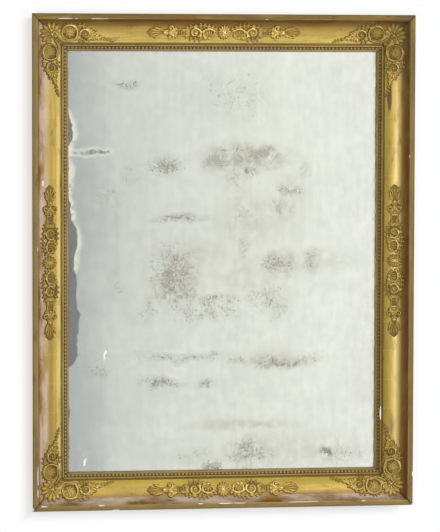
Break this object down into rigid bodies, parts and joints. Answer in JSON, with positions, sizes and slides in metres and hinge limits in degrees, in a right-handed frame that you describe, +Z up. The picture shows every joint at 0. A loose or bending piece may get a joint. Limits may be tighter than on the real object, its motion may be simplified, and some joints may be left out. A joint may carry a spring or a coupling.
{
  "type": "pier mirror",
  "caption": "Tall giltwood wall mirror: a mitred cove moulding with a pearl course and cast scroll ornament round a silvered plate, hung by rings on its back.",
  "frame": {"origin": "middle of the back boards' rear face, on the wall", "axes": "+Y out of the back into the wall, so the front looks along -Y; +Z up; +X to the viewer's right"},
  "size_m": [1.09, 0.074, 1.4],
  "materials": {
    "gilding": "water-gilt softwood, rubbed on the band",
    "ornament": "gilded composition, bright on the crests and brown in the hollows",
    "pearls": "gilded composition, rubbed and dusty",
    "glass": "clear old plate glass",
    "silvering": "tin and mercury silvering with grey foxing",
    "softwood": "bare pine, glue-stained",
    "boards": "bare old pine",
    "iron": "blackened wrought iron"
  },
  "bodies": {
    "frame": {"back_board_1": "boards", "back_board_2": "boards", "back_board_3": "boards", "back_board_4": "boards", "back_board_5": "boards", "bottom_flower": "ornament", "bottom_glue_block_1": "softwood", "bottom_glue_block_2": "softwood", "bottom_left_mitre_key": "softwood", "bottom_left_palmette": "ornament", "bottom_left_spray_on_rail": "ornament", "bottom_left_spray_on_stile": "ornament", "bottom_pearls": "pearls", "bottom_rail": "gilding", "bottom_right_mitre_key": "softwood", "bottom_right_palmette": "ornament", "bottom_right_spray_on_rail": "ornament", "bottom_right_spray_on_stile": "ornament", "bottom_wing_1": "ornament", "bottom_wing_2": "ornament", "left_flower": "ornament", "left_glue_block_1": "softwood", "left_glue_block_2": "softwood", "left_glue_block_3": "softwood", "left_hanger_strap": "iron", "left_pearls": "pearls", "left_stile": "gilding", "left_wing_1": "ornament", "left_wing_2": "ornament", "mirror_plate": "glass", "right_flower": "ornament", "right_glue_block_1": "softwood", "right_glue_block_2": "softwood", "right_glue_block_3": "softwood", "right_hanger_strap": "iron", "right_pearls": "pearls", "right_stile": "gilding", "right_wing_1": "ornament", "right_wing_2": "ornament", "silvering": "silvering", "top_flower": "ornament", "top_glue_block_1": "softwood", "top_glue_block_2": "softwood", "top_left_mitre_key": "softwood", "top_left_palmette": "ornament", "top_left_spray_on_rail": "ornament", "top_left_spray_on_stile": "ornament", "top_pearls": "pearls", "top_rail": "gilding", "top_right_mitre_key": "softwood", "top_right_palmette": "ornament", "top_right_spray_on_rail": "ornament", "top_right_spray_on_stile": "ornament", "top_wing_1": "ornament", "top_wing_2": "ornament"},
    "left_ring": {"left_hanger_ring": "iron"},
    "right_ring": {"right_hanger_ring": "iron"}
  },
  "joints": [
    {"name": "left_ring_swing", "type": "hinge", "parent": "frame", "child": "left_ring", "pos_m": [-0.509, -0.007, 0.43], "axis": [1, 0, 0], "range_deg": [0, 180]},
    {"name": "right_ring_swing", "type": "hinge", "parent": "frame", "child": "right_ring", "pos_m": [0.509, -0.007, 0.43], "axis": [1, 0, 0], "range_deg": [0, 180]}
  ]
}
